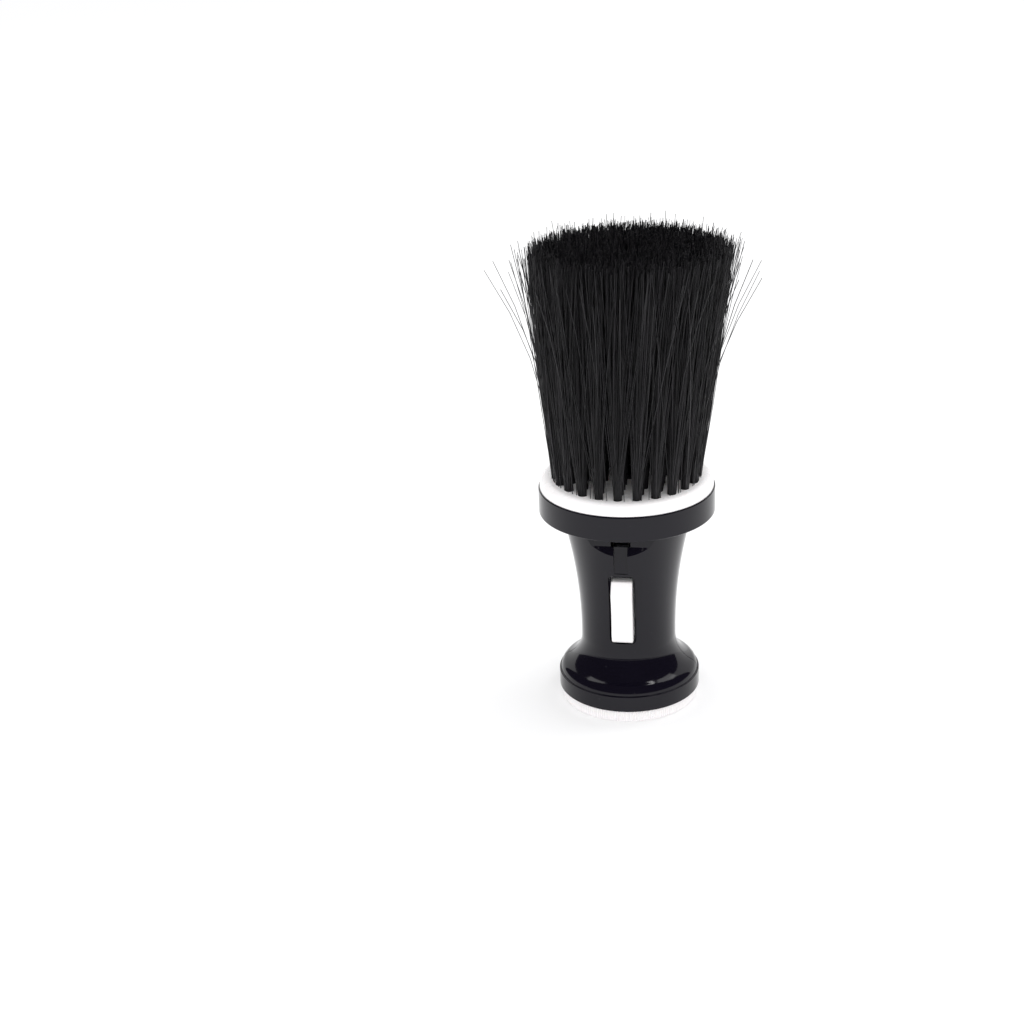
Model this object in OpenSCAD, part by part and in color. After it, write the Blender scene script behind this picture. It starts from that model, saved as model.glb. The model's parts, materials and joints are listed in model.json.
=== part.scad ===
// Neck duster brush with a powder handle: it stands on its screw cap, origin under the middle of the
// cap, +Z up through the bristles, -Y towards the thumb slider. All sizes are millimetres.

/* [Handle] */
// Height of the underside of the black collar
neck_h = 73.8; // [68:0.1:95]
// Diameter of the band around the foot of the handle
band_d = 51.6; // [50:0.1:70]
// Height of that band
band_h = 5.9; // [5:0.1:10]
// Step in from the band to the bell above it, each side
band_step = 0.6; // [0.3:0.1:0.8]
// Rounding of the bell's shoulder
shoulder_r = 4; // [3.5:0.1:5.5]
// Radius of the hollow between the bell and the waist
bell_r = 11.5; // [10:0.1:13]
// Diameter of the handle at its waist
waist_d = 34.3; // [34:0.1:42]
// Length of the straight part of the waist
waist_l = 2.4; // [0:0.1:10]
// Diameter of the neck where it meets the collar
neck_d = 47.6; // [44:0.1:54]
// Wall of the two handle shells
wall = 1.8; // [1.4:0.1:2.2]

/* [Collar and bristle disc] */
// Outer diameter of the collar
collar_d = 63; // [60:0.1:80]
// Height of the collar
collar_h = 9.3; // [8:0.1:14]
// Wall of the collar
collar_wall = 1.1; // [0.8:0.1:2]
// Thickness of the collar's bottom lip
collar_lip = 1.2; // [0.8:0.1:2]
// Thickness of the flange at the top of the shells
flange_t = 2; // [1.5:0.1:3]
// How far the disc stands above the collar
disc_proud = 4; // [3:0.1:6]
// Thickness of the disc where the tufts are set
disc_t = 6; // [5:0.1:8]
// Rounding of the disc's rim
disc_round = 3; // [1:0.1:3.5]
// How far the disc's head reaches out over the collar
disc_over = 0.8; // [0:0.1:1]

/* [Bristles] */
// Length of the bristles above the disc
bristle_l = 81.9; // [40:0.1:120]
// Diameter of one tuft at its root
tuft_root_d = 3.2; // [2.6:0.1:3.6]
// Depth of the tuft holes
tuft_hole = 5; // [3:0.1:5.5]
// Distance from the axis to the middle of an outer tuft, at the disc
row_r = 25.2; // [24:0.1:28]
// Distance between two rows of tufts
row_gap = 5; // [4.6:0.1:5.2]
// How much wider the outer row is at its tips than at its roots, on the radius
flare = 5; // [3:0.1:8]
// Distance from the axis to the tips of the flyaway bristles
flyaway_r = 44; // [38:0.5:50]

/* [Thumb slider] */
// Width of the thumb slider
slider_w = 7.6; // [6:0.1:9]
// Length of the thumb slider
slider_l = 24; // [20:0.1:28]
// Height of its bottom end above the table
slider_z = 28.7; // [27:0.1:34]
// How far its ridge stands out of the waist
slider_proud = 3.6; // [2:0.1:5]
// How far it slides up to let powder out
slider_travel = 1.8; // [1:0.1:2.2]
// Width of the groove between the window and the collar
groove_w = 4.9; // [4:0.1:6]
// Width of the notch at the top of the groove
notch_w = 7; // [6.4:0.1:9]
// Height of the sloped ledge of the relief beside the notch
relief_rise = 3.1; // [1.5:0.1:4]
// How far that ledge stands out from the relief's flat, which lies in the groove's plane
relief_run = 1.7; // [0.8:0.1:2.2]
// Thickness of the steel slide bar
bar_t = 1.2; // [0.8:0.1:1.3]
// Width of the steel slide bar
bar_w = 6; // [5:0.1:6.2]

/* [Powder chamber and valve] */
// Outer diameter of the powder chamber
chamber_d = 23.8; // [20:0.1:24]
// Wall of the powder chamber
chamber_wall = 1.2; // [1:0.1:2]
// Inner diameter of the chamber's outlet
outlet_d = 9.2; // [8:0.1:9.6]
// Diameter of the valve stem
stem_d = 2.4; // [2:0.1:3]
// Wire of the return spring
spring_wire = 0.6; // [0.4:0.05:0.7]

/* [Screw cap] */
// Diameter of the knurled cap
cap_d = 49.6; // [48:0.1:68]
// Height of the knurled rim
cap_rim_h = 4.4; // [3:0.1:6]
// Thickness of the cap's floor
cap_floor = 1.8; // [1.2:0.1:2.5]
// Number of ribs of the knurling
knurls = 180; // [90:10:200]
// Depth of the knurling
knurl_depth = 0.35; // [0.2:0.05:0.5]
// Outer diameter of the cap's skirt, under its thread
skirt_d = 40.8; // [38:0.1:41]
// Pitch of the cap's thread
thread_pitch = 3; // [2.8:0.1:3.4]
// Radial height of the thread
thread_h = 0.7; // [0.5:0.05:0.8]

/* [Fits] */
// Gap between moving pieces
gap = 0.3; // [0.3:0.05:0.5]
// Gap between pieces that are fixed to each other
fit = 0.05; // [0.02:0.01:0.1]

/* [Hidden] */
$fn = 96;
eps = 0.01;

// Handle outline
foot_z = cap_rim_h + 0.2;
band_z = foot_z + band_h;
shoulder_x = band_d / 2 - band_step - shoulder_r;
bell_x = waist_d / 2 + bell_r;
bell_z = band_z + sqrt(pow(shoulder_r + bell_r, 2) - pow(bell_x - shoulder_x, 2));
waist_z = bell_z + waist_l;
neck_rise = (neck_d - waist_d) / 2;
neck_r = (pow(neck_rise, 2) + pow(neck_h - waist_z, 2)) / (2 * neck_rise);
tangent = [bell_x - shoulder_x, bell_z - band_z] / (shoulder_r + bell_r);

// Stack of the head
flange_z = neck_h + collar_lip;
disc_z = flange_z + flange_t;
rim_z = neck_h + collar_h;
face_z = rim_z + disc_proud;
plate_z = face_z - disc_t;
disc_r = collar_d / 2 - collar_wall - 4 * fit;
skirt_wall = 2.7;
tip_z = face_z + bristle_l;

// Rows of tufts: [count, distance from the axis at the root, the same at the tips, radius at the tips]
tip_r = row_r + flare;
tip_gap = row_gap + 2.1;
rows = [
    [24, row_r, tip_r, tuft_tip(24, tip_r)],
    [18, row_r - row_gap, tip_r - tip_gap, tuft_tip(18, tip_r - tip_gap)],
    [12, row_r - 2 * row_gap, tip_r - 2 * tip_gap, tuft_tip(12, tip_r - 2 * tip_gap)],
    [8, row_r - 3 * row_gap, tip_r - 3 * tip_gap, tuft_tip(8, tip_r - 3 * tip_gap)]
];
function tuft_tip(count, r) = min(r * sin(180 / count), tip_gap / 2) - 0.1;
flyaways = 16;

// Window, slide bar and guides
slider_out = waist_d / 2 + slider_proud;
bezel = 0.6;
window_w = slider_w + 2 * gap + 0.1;
window_z0 = slider_z - gap - 0.2;
window_z1 = slider_z + slider_l + slider_travel + gap;
bar_y = waist_d / 2 - wall - 1.35;
tab_w = window_w + 2.8;
groove_y = waist_d / 2 + pow(window_z1 - waist_z, 2) / (2 * neck_r);
groove_top = neck_h - 7.8;
relief_z = groove_top + 1;
rivet_d = 2;
rib_t = 1.6;
rib_z = [bell_z - 4.2, neck_h - 16];

// Lip of the shells under the mouth ring: it always reaches in over the cap's rim
lip_out = band_d / 2 - wall + eps;
lip_in = min(lip_out - 1.2, cap_d / 2 - 2 + eps);

// Powder chamber, from its mouth up to its outlet
ring_z = foot_z + 0.6;
ring_top = band_z;
ring_plate = 1.2;
chamber_z = ring_top + ring_plate;
chamber_r = chamber_d / 2;
outlet_r = outlet_d / 2;
outlet_wall = 1.6;
cone_z0 = neck_h - 13.8;
cone_z1 = cone_z0 + 6;
outlet_z = neck_h - 3.8;

// Valve, from the seat upwards
seat_t = 1.5;
seat_z = outlet_z + seat_t;
seat_r = 3.9;
seal_t = 0.8;
head_t = 1;
head_r = 5.4;
arm_z = seat_z + seal_t + head_t;
arm_top = arm_z + bar_t;
arm_r = 4.2;
clip_t = 0.6;
sieve_z = plate_z - 0.6;
sieve_t = 1.2;
sieve_r = 4.85;
stem_top = sieve_z + sieve_t + 1.8;
spring_r = 3.2;
spring_turns = 4.5;
bell_in = 8.5;
bell_wall = 1.2;
nozzle_r = 5.9;
nozzle_bore = 4.2;
nozzle_top = face_z + 1;

// Screw cap and its thread
skirt_wall_cap = 2.2;
gasket_t = 1.2;
skirt_top = ring_top - gasket_t;
thread_root = skirt_d / 2 + thread_h + gap + 2 * fit;
thread_z = foot_z + 1.4;
thread_base = 1.3;
thread_crest = 0.7;
thread_sunk = 0.5;

// Half section of the handle, moved in by inset from its outer face
module handle_area(inset = 0, top = neck_h) {
    waist = waist_d / 2 - inset;
    neck = neck_d / 2 - inset;
    bell = band_d / 2 - band_step - inset;
    shoulder = [shoulder_x, band_z];
    difference() {
        union() {
            polygon([
                [0, foot_z], [band_d / 2 - inset, foot_z], [band_d / 2 - inset, band_z],
                [bell, band_z], shoulder, shoulder + tangent * (shoulder_r - inset),
                [bell_x, bell_z], [waist, bell_z], [waist, waist_z], [neck, waist_z],
                [neck, top], [0, top]
            ]);
            translate(shoulder) circle(shoulder_r - inset);
        }
        translate([bell_x, bell_z]) circle(bell_r + inset);
        // only the upper half of the large arc shapes the neck
        intersection() {
            translate([waist_d / 2 + neck_r, waist_z]) circle(neck_r + inset, $fn = 720);
            translate([0, waist_z]) square([neck_r, neck_r]);
        }
    }
}

// Half section of one shell: wall, flange inside the collar, lip under the mouth ring
module shell_area() {
    difference() {
        handle_area();
        difference() {
            handle_area(wall, neck_h + 1);
            square([lip_out, ring_z]);
        }
        square([lip_in, ring_z + eps]);
    }
    translate([neck_d / 2 - wall, neck_h]) square([wall, collar_lip]);
    translate([neck_d / 2 - wall, flange_z]) square([disc_r - neck_d / 2 + wall, flange_t]);
}

// One half of the handle with its cradle ribs for the powder chamber
module shell_half() {
    rotate_extrude(angle = 180, $fn = 144) shell_area();
    for (z = rib_z) {
        intersection() {
            rotate_extrude(angle = 180) handle_area(wall / 2);
            translate([0, 0, z]) rotate_extrude(angle = 180)
                translate([chamber_r + fit, 0]) square([neck_d / 2 - chamber_r, rib_t]);
        }
    }
}

// Places of the four locating pins: [x, z, boss radius]
pins = [
    for (side = [-1, 1]) [side * (neck_d / 2 - wall - 4.6), neck_h - 4.8, 2.6],
    for (side = [-1, 1]) [side * (waist_d / 2 - wall - 0.4), bell_z - 6.5, 1.8]
];
pin_r = 1.1;
pin_l = 3;

module along_y(length) {
    rotate([-90, 0, 0]) cylinder(h = length, r = $r);
}

module pin_bosses() {
    intersection() {
        rotate_extrude(angle = 180) handle_area(wall / 2);
        for (p = pins) translate([p[0], 0, p[1]]) along_y(neck_d, $r = p[2]);
    }
}

// Outline with round corners, in the XZ plane, cut from the axis out through the front
module front_cut(w, z0, z1, r, depth = neck_d) {
    translate([0, 0, (z0 + z1) / 2]) rotate([90, 0, 0]) linear_extrude(depth) {
        square([w - 2 * r, z1 - z0], center = true);
        square([w, z1 - z0 - 2 * r], center = true);
        for (x = [-1, 1], y = [-1, 1])
            translate([x * (w / 2 - r), y * ((z1 - z0) / 2 - r)]) circle(r, $fn = 48);
    }
}

module front_shell() {
    pad_t = 1.7;
    pad_w = groove_w + 2.4;
    relief_w = 2 * sqrt(pow(neck_d / 2, 2) - pow(groove_y, 2));
    whole_end = 2; // this near its ends the relief leaves the wall whole without a pad
    pads = [
        // width, bottom, top: behind the groove and behind the relief
        [pad_w, window_z1 + bezel, groove_top + bezel],
        [relief_w - 2 * whole_end, relief_z - relief_rise - pad_t / 2, neck_h - 0.1],
    ];
    guide_w = bar_w + 0.2;
    color([0.02, 0.02, 0.025]) difference() {
        union() {
            mirror([0, 1, 0]) shell_half();
            mirror([0, 1, 0]) pin_bosses();
            for (p = pins) translate([p[0], -1, p[1]]) along_y(pin_l + 1, $r = pin_r);
            // these pads keep the wall whole
            for (p = pads) intersection() {
                rotate([0, 0, 180]) rotate_extrude(angle = 180) handle_area();
                translate([-p[0] / 2, -neck_d / 2, p[1]])
                    cube([p[0], neck_d / 2 - groove_y + pad_t, p[2] - p[1]]);
            }
        }
        // relief on both sides of the notch: a flat, and a ledge that slopes out to the neck's face
        translate([relief_w / 2 + 1, 0, 0]) rotate([90, 0, -90]) linear_extrude(relief_w + 2)
            polygon([
                [groove_y, relief_z], [groove_y + 2 * relief_run, relief_z - 2 * relief_rise],
                [neck_d, relief_z - 2 * relief_rise], [neck_d, neck_h - 0.2], [groove_y, neck_h - 0.2],
            ]);
        front_cut(window_w, window_z0, window_z1, 1.2);
        // sunk bezel around the window
        difference() {
            front_cut(window_w + 2 * bezel, window_z0 - bezel, window_z1 + bezel, 1.8);
            rotate_extrude() handle_area(wall / 2);
        }
        // flat groove that runs up from the window, and the notch that ends it
        translate([-groove_w / 2, -neck_d, window_z1 + bezel + 1])
            cube([groove_w, neck_d - groove_y, relief_z - window_z1 - bezel - 1]);
        translate([-notch_w / 2, -neck_d, groove_top + 0.8])
            cube([notch_w, neck_d - bar_y - bar_t, neck_h - groove_top - 1]);
        // way for the slide bar through the upper cradle rib
        translate([-guide_w / 2, -bar_y - bar_t - 1.6, rib_z[1] - 1])
            cube([guide_w, bar_t + 3.2, rib_t + 2]);
    }
}

module rear_shell() {
    color([0.02, 0.02, 0.025]) difference() {
        union() {
            shell_half();
            pin_bosses();
        }
        for (p = pins) translate([p[0], -1, p[1]]) along_y(pin_l + 1.3, $r = pin_r + fit);
    }
}

module collar_ring() {
    edge = 0.5;
    color([0.02, 0.02, 0.025]) rotate_extrude($fn = 144) difference() {
        union() {
            translate([0, neck_h + edge]) square([collar_d / 2, collar_h - 2 * edge]);
            translate([0, neck_h]) square([collar_d / 2 - edge, collar_h]);
            for (z = [neck_h + edge, rim_z - edge])
                translate([collar_d / 2 - edge, z]) circle(edge, $fn = 32);
        }
        translate([0, neck_h - 1]) square([neck_d / 2 + 3 * fit, collar_h]);
        translate([0, flange_z]) square([collar_d / 2 - collar_wall, collar_h]);
    }
}

// Puts the children at each tuft of a row, leaning with it, with Z along the tuft from the disc's face
module at_tufts(row) {
    lean = atan((row[2] - row[1]) / bristle_l);
    for (i = [0 : row[0] - 1])
        rotate([0, 0, i * 360 / row[0] - 90]) translate([row[1], 0, face_z]) rotate([0, lean, 0])
            children();
}

module bristle_disc() {
    head_r = disc_r + disc_over;
    color([0.95, 0.94, 0.93]) difference() {
        rotate_extrude($fn = 144) difference() {
            union() {
                translate([0, disc_z]) square([disc_r, rim_z + fit + eps - disc_z]);
                translate([0, rim_z + fit]) square([head_r, face_z - disc_round - rim_z - fit]);
                translate([0, rim_z]) square([head_r - disc_round, face_z - rim_z]);
                intersection() {
                    translate([head_r - disc_round, face_z - disc_round]) circle(disc_round);
                    translate([0, rim_z + fit]) square([head_r + 1, face_z - rim_z]);
                }
            }
            translate([0, disc_z - 1]) square([disc_r - skirt_wall, plate_z - disc_z + 1]);
            square([nozzle_r + fit, tip_z]);
        }
        for (row = rows) at_tufts(row)
            translate([0, 0, -tuft_hole]) cylinder(h = tuft_hole + 2, d = tuft_root_d + 2 * fit, $fn = 24);
    }
}

// Flat steel anchor at the bottom of a tuft hole, with the tuft standing on it
anchor = [2.6, 0.4, 1.2];

module tufts(row) {
    color([0.05, 0.05, 0.055]) at_tufts(row) {
        translate([0, 0, anchor[2] - tuft_hole])
            cylinder(h = tuft_hole - anchor[2], d = tuft_root_d, $fn = 24);
        cylinder(h = bristle_l - 0.3, r1 = tuft_root_d / 2, r2 = row[3], $fn = 24);
    }
}
module outer_tufts() { tufts(rows[0]); }
module middle_tufts() { tufts(rows[1]); }
module inner_tufts() { tufts(rows[2]); }
module core_tufts() { tufts(rows[3]); }

module flyaway_bristles() {
    root = row_r + tuft_root_d / 2 + 0.5;
    rise = bristle_l * 0.92;
    lean = atan((flyaway_r - root) / rise);
    color([0.05, 0.05, 0.055]) for (i = [0 : flyaways - 1])
        rotate([0, 0, i * 360 / flyaways]) translate([root, 0, face_z + 0.1]) rotate([0, lean, 0])
            cylinder(h = rise / cos(lean), r1 = 0.25, r2 = 0.15, $fn = 16);
}

module tuft_anchors() {
    color([0.75, 0.75, 0.76]) for (row = rows) at_tufts(row)
        translate([-anchor[0] / 2, -anchor[1] / 2, -tuft_hole]) cube(anchor);
}

// Point on a thread ridge: angle along the helix, radius, height above its middle line
function helix(a, r, z) = [r * cos(a), r * sin(a), z + thread_pitch * a / 360];

// Ridge of a right-hand thread, from its root radius to its crest radius
module thread(turns, z, root, crest, start = 0) {
    steps = 36;
    count = ceil(turns * steps);
    points = [
        for (i = [0 : count]) each [
            helix(start + i * 360 / steps, root, z - thread_base / 2),
            helix(start + i * 360 / steps, crest, z - thread_crest / 2),
            helix(start + i * 360 / steps, crest, z + thread_crest / 2),
            helix(start + i * 360 / steps, root, z + thread_base / 2)
        ]
    ];
    outward = crest > root;
    sides = [
        for (i = [0 : count - 1], k = [0 : 3])
            let (a = 4 * i + k, b = 4 * i + (k + 1) % 4)
            outward ? [a, b, b + 4, a + 4] : [a + 4, b + 4, b, a]
    ];
    last = 4 * count;
    ends = outward
        ? [[3, 2, 1, 0], [last, last + 1, last + 2, last + 3]]
        : [[0, 1, 2, 3], [last + 3, last + 2, last + 1, last]];
    polyhedron(points, concat(sides, ends), convexity = 6);
}

module mouth_ring() {
    outer = band_d / 2 - wall - fit;
    color([0.85, 0.85, 0.83]) {
        rotate_extrude($fn = 144) difference() {
            union() {
                translate([0, ring_z]) square([outer, ring_top - ring_z]);
                translate([0, ring_z]) square([outer - band_step - 1, chamber_z - ring_z]);
                translate([0, ring_z]) square([chamber_r + fit + 1.4, chamber_z + 3.2 - ring_z]);
            }
            square([thread_root, ring_top]);
            square([chamber_r - chamber_wall, neck_h]);
            translate([0, chamber_z]) square([chamber_r + fit, neck_h]);
        }
        thread(1.1, thread_z + thread_pitch / 2, thread_root + thread_sunk, thread_root - thread_h, -160);
    }
}

module powder_chamber() {
    color([0.85, 0.85, 0.83, 0.8]) rotate_extrude() {
        outer = outlet_r + outlet_wall;
        polygon([
            [chamber_r - chamber_wall, chamber_z], [chamber_r, chamber_z], [chamber_r, cone_z0],
            [outer, cone_z1], [outer, outlet_z], [outlet_r, outlet_z], [outlet_r, cone_z1],
            [chamber_r - chamber_wall, cone_z0]
        ]);
    }
}

module valve_seat() {
    color([0.95, 0.94, 0.93]) rotate_extrude() translate([seat_r, outlet_z])
        square([outlet_r + outlet_wall - seat_r, seat_t]);
}

module outlet_nozzle() {
    skirt_in = outlet_r + outlet_wall + fit;
    skirt_z = outlet_z - 1.5;
    throat_z = sieve_z - 1;
    color([0.02, 0.02, 0.025]) difference() {
        rotate_extrude() polygon([
            [skirt_in, skirt_z], [skirt_in + bell_wall, skirt_z], [skirt_in + bell_wall, seat_z - 1],
            [bell_in + bell_wall, seat_z - 1], [bell_in + bell_wall, plate_z - 1.4],
            [bell_in + 3, plate_z - 1.4], [bell_in + 3, plate_z], [nozzle_r, plate_z],
            [nozzle_r, nozzle_top], [nozzle_bore, nozzle_top], [nozzle_bore, sieve_z + sieve_t],
            [sieve_r + fit, sieve_z + sieve_t], [sieve_r + fit, throat_z],
            [bell_in, throat_z - 2.5], [bell_in, seat_z], [skirt_in, seat_z]
        ]);
        // slot for the slide bar's arm, over its whole travel
        translate([-bar_w / 2 - 0.7, -bell_in - 3, arm_z - 0.6])
            cube([bar_w + 1.4, bell_in + 1, bar_t + slider_travel + 1.2]);
    }
}

module sieve() {
    color([0.95, 0.94, 0.93]) difference() {
        translate([0, 0, sieve_z]) cylinder(h = sieve_t, r = sieve_r);
        translate([0, 0, sieve_z - 1]) cylinder(h = sieve_t + 2, d = stem_d + 0.16);
        for (i = [0 : 7]) rotate([0, 0, i * 45]) translate([(stem_d / 2 + sieve_r) / 2, 0, sieve_z - 1])
            cylinder(h = sieve_t + 2, d = 1.5, $fn = 24);
    }
}

module return_spring() {
    sides = 8;
    steps = 20;
    r = spring_wire / 2;
    z0 = arm_top + r + fit;
    rise = sieve_z - arm_top - 2 * r - 2 * fit;
    count = spring_turns * steps;
    points = [
        for (i = [0 : count], k = [0 : sides - 1])
            let (a = i * 360 / steps, b = k * 360 / sides, d = spring_r + r * cos(b))
            [d * cos(a), d * sin(a), z0 + rise * i / count + r * sin(b)]
    ];
    around = [
        for (i = [0 : count - 1], k = [0 : sides - 1])
            let (a = i * sides + k, b = i * sides + (k + 1) % sides)
            [a, b, b + sides, a + sides]
    ];
    first = [for (k = [sides - 1 : -1 : 0]) k];
    last = [for (k = [0 : sides - 1]) count * sides + k];
    color([0.75, 0.75, 0.76]) polyhedron(points, concat(around, [first, last]), convexity = 8);
}

// Side view of the thumb slider, x outwards and y up: ramp, ridge, hollow thumb face, round foot
module slider_side() {
    ridge = slider_out - bar_y;
    heel = ridge - 1.2;
    ramp_z = 0.8 * slider_l;
    heel_z = 0.14 * slider_l;
    foot = [heel - 1.8, 1.3];
    hollow_r = 45;
    chord = [heel - ridge, heel_z - ramp_z];
    middle = [ridge + heel, ramp_z + heel_z] / 2;
    reach = sqrt(pow(hollow_r, 2) - pow(norm(chord) / 2, 2));
    difference() {
        union() {
            polygon([
                [0, 0], [foot[0], 0], foot, [foot[0] + foot[1], foot[1]], [heel, heel_z],
                [ridge, ramp_z], [ridge - 2.5, slider_l], [0, slider_l]
            ]);
            translate(foot) circle(foot[1], $fn = 48);
        }
        translate(middle + [-chord[1], chord[0]] / norm(chord) * reach) circle(hollow_r, $fn = 360);
    }
}

module thumb_slider() {
    color([0.95, 0.94, 0.93]) difference() {
        translate([slider_w / 2, -bar_y, slider_z]) rotate([90, 0, -90])
            linear_extrude(slider_w) slider_side();
        rivet_holes(fit);
    }
}

rivet_z = [slider_z + 0.28 * slider_l, slider_z + 0.7 * slider_l];
rivet_l = bar_t + 4;
module rivet_holes(clear) {
    for (z = rivet_z) translate([0, -bar_y - rivet_l + bar_t, z])
        along_y(rivet_l, $r = rivet_d / 2 + clear);
}

module slider_rivets() {
    color([0.75, 0.75, 0.76]) rivet_holes(0);
}

// Steel bar behind the front shell, with side tabs behind the window and an arm round the stem
module slide_bar() {
    color([0.75, 0.75, 0.76]) difference() {
        union() {
            translate([-bar_w / 2, -bar_y, slider_z]) cube([bar_w, bar_t, arm_top - slider_z]);
            translate([-tab_w / 2, -bar_y, slider_z]) cube([tab_w, bar_t, slider_l]);
            translate([-bar_w / 2, -bar_y, arm_z]) cube([bar_w, bar_y, bar_t]);
            translate([0, 0, arm_z]) cylinder(h = bar_t, r = arm_r);
        }
        translate([0, 0, arm_z - 1]) cylinder(h = bar_t + 2, d = stem_d + 2 * fit);
        rivet_holes(fit);
    }
}

module valve_stem() {
    color([0.95, 0.94, 0.93]) {
        translate([0, 0, seat_z + 0.2]) cylinder(h = seal_t, r = 1.45);
        translate([0, 0, seat_z + seal_t]) cylinder(h = head_t, r = head_r);
        translate([0, 0, seat_z + seal_t]) cylinder(h = stem_top - seat_z - seal_t, d = stem_d);
    }
}

module valve_seal() {
    color([0.2, 0.2, 0.2]) rotate_extrude() translate([1.5, seat_z]) square([head_r - 1.7, seal_t]);
}

module stem_clip() {
    color([0.75, 0.75, 0.76]) rotate_extrude() translate([stem_d / 2 + fit, arm_top])
        square([2.3 - stem_d / 2, clip_t]);
}

module cap_gasket() {
    color([0.2, 0.2, 0.2]) rotate_extrude($fn = 144)
        translate([skirt_d / 2 - skirt_wall_cap, skirt_top]) square([skirt_wall_cap, gasket_t]);
}

module screw_cap() {
    r = cap_d / 2;
    edge = 0.4;
    plain = 0.1;
    color([0.95, 0.94, 0.93]) {
        difference() {
            union() {
                cylinder(h = cap_rim_h, r = r - knurl_depth - plain, $fn = 144);
                // ribs of the knurling, between plain edges at the top and the bottom
                translate([0, 0, edge]) linear_extrude(cap_rim_h - 2 * edge) polygon([
                    for (i = [0 : 2 * knurls - 1])
                        let (a = i * 180 / knurls, d = r - (i % 2) * knurl_depth)
                        [d * cos(a), d * sin(a)]
                ]);
                cylinder(h = skirt_top, d = skirt_d, $fn = 144);
            }
            translate([0, 0, cap_floor])
                cylinder(h = skirt_top, r = skirt_d / 2 - skirt_wall_cap, $fn = 144);
        }
        thread(0.85, thread_z, skirt_d / 2 - thread_sunk, skirt_d / 2 + thread_h);
    }
}

front_shell();
rear_shell();
collar_ring();
bristle_disc();
outer_tufts();
middle_tufts();
inner_tufts();
core_tufts();
flyaway_bristles();
tuft_anchors();
mouth_ring();
powder_chamber();
valve_seat();
outlet_nozzle();
sieve();
return_spring();
thumb_slider();
slider_rivets();
slide_bar();
valve_stem();
valve_seal();
stem_clip();
cap_gasket();
screw_cap();
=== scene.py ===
"""Looks of a neck duster brush: moulded shells, bristles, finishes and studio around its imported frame."""

import json
import math
import random

import bmesh
import bpy
from mathutils import Matrix, Vector


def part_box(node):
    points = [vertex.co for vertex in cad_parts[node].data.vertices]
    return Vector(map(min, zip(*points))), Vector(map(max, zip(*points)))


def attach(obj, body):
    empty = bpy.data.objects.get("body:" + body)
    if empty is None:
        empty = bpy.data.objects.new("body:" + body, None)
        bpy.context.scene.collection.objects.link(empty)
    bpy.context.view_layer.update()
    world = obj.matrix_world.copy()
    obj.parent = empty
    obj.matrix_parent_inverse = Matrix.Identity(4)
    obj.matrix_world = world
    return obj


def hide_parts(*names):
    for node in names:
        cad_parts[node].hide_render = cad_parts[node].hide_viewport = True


bl_info = {
    "name": "Neck duster brush",
    "version": (1, 0, 0),
    "blender": (4, 5, 0),
    "location": "View3D > Sidebar > Duster",
    "description": "Shells, bristles, finishes and studio of a neck duster brush",
    "category": "Object",
}

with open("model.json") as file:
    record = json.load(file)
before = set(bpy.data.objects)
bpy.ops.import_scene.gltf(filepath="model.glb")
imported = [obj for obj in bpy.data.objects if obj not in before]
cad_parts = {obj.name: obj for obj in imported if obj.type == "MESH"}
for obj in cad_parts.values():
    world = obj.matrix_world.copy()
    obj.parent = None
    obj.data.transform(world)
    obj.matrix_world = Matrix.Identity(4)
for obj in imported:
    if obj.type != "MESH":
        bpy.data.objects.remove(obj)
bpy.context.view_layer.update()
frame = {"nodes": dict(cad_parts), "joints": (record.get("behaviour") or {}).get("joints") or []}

MM = 0.001
UP = (0, 0, 1)
ORIGIN = (0, 0, 0)
TRAVEL = {joint["name"]: joint.get("range_m", [0, 0])[1] for joint in frame["joints"]}


def bottom(node):
    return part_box(node)[0].z


def top(node):
    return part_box(node)[1].z


def reach(node):
    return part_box(node)[1].x


# ---------------------------------------------------------------- sizes and colours


def length(name, description, default):
    return bpy.props.FloatProperty(
        name=name, description=description, default=default, min=0, unit="LENGTH", precision=5
    )


def count(name, description, default):
    return bpy.props.IntProperty(name=name, description=description, default=default, min=1)


def share(name, description, default):
    return bpy.props.FloatProperty(
        name=name, description=description, default=default, min=0, max=1, subtype="FACTOR"
    )


def colour(name, description, default):
    return bpy.props.FloatVectorProperty(
        name=name, description=description, default=default, size=3, min=0, max=1, subtype="COLOR"
    )


def strength(name, description, default):
    return bpy.props.FloatProperty(name=name, description=description, default=default, min=0)


def angle(name, description, degrees):
    return bpy.props.FloatProperty(
        name=name, description=description, default=math.radians(degrees), subtype="ANGLE"
    )


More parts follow.
